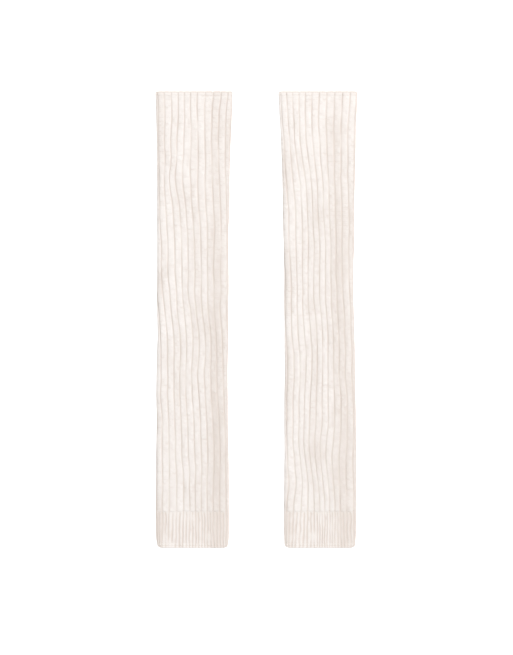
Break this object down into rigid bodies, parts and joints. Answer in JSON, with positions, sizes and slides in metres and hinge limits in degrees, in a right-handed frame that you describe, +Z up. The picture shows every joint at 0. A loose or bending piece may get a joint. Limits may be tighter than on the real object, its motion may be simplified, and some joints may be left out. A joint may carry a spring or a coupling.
{
  "type": "pair of leg warmers",
  "caption": "Long rib-knit leg warmers laid flat side by side, each an open tube with broad ribs, a fine-rib cuff and a narrow bound-off top edge.",
  "frame": {"origin": "On the surface that the pair lies on, under the middle of its box.", "axes": "+Z up from the surface, +Y towards the bound-off tops along the legs' length, +X to the right as seen from above."},
  "size_m": [0.2812, 0.64, 0.0068],
  "materials": {
    "broad_rib_knit": "soft matte cream yarn in broad ribs",
    "fine_rib_knit": "soft matte cream yarn in fine ribs",
    "bound_off_edge": "soft matte cream yarn, bound off"
  },
  "bodies": {
    "root": {"left_body": "broad_rib_knit", "left_cuff": "fine_rib_knit", "left_top_edge": "bound_off_edge", "right_body": "broad_rib_knit", "right_cuff": "fine_rib_knit", "right_top_edge": "bound_off_edge"}
  },
  "joints": []
}
